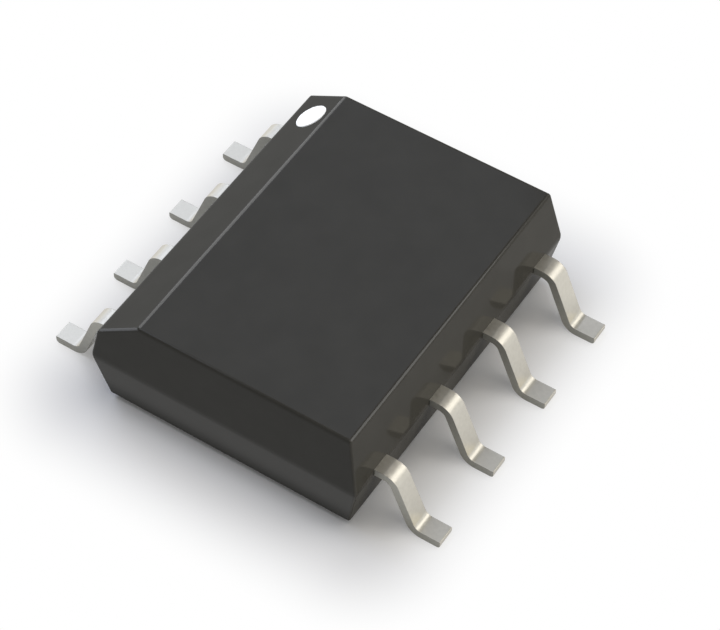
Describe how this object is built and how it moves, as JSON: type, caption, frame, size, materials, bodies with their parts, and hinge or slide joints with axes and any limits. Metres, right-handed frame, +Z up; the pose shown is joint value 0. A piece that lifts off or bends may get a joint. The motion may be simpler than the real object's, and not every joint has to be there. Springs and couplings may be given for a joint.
{
  "type": "small-outline integrated circuit package",
  "caption": "Surface-mount chip package: a dark moulded body with one bevelled side, a white first-pin dot and bent gull-wing leads along both long sides.",
  "frame": {"origin": "in the seating plane of the feet, under the middle of the body", "axes": "+Z up from the seating plane, +X towards the side of leads 5 to 8, away from the bevelled side, +Y along the body towards the end with leads 1 and 8"},
  "size_m": [0.006, 0.005, 0.0018],
  "materials": {
    "mould_compound": "silica-filled epoxy moulding compound, satin black",
    "tin_plate": "satin electroplated tin on a copper-alloy strip, sheared edges darker",
    "copper_alloy": "bare rolled copper alloy",
    "die_adhesive": "silver-filled epoxy",
    "silicon": "sawn silicon with a passivated top",
    "gold_wire": "drawn gold wire",
    "white_ink": "printed white marking ink"
  },
  "bodies": {
    "root": {"mould_body": "mould_compound", "die_paddle": "copper_alloy", "die_attach": "die_adhesive", "die": "silicon", "pin_1_mark": "white_ink", "lead_1": "tin_plate", "lead_2": "tin_plate", "lead_3": "tin_plate", "lead_4": "tin_plate", "lead_5": "tin_plate", "lead_6": "tin_plate", "lead_7": "tin_plate", "lead_8": "tin_plate", "bond_wire_1": "gold_wire", "bond_wire_2": "gold_wire", "bond_wire_3": "gold_wire", "bond_wire_4": "gold_wire", "bond_wire_5": "gold_wire", "bond_wire_6": "gold_wire", "bond_wire_7": "gold_wire", "bond_wire_8": "gold_wire"}
  },
  "joints": []
}
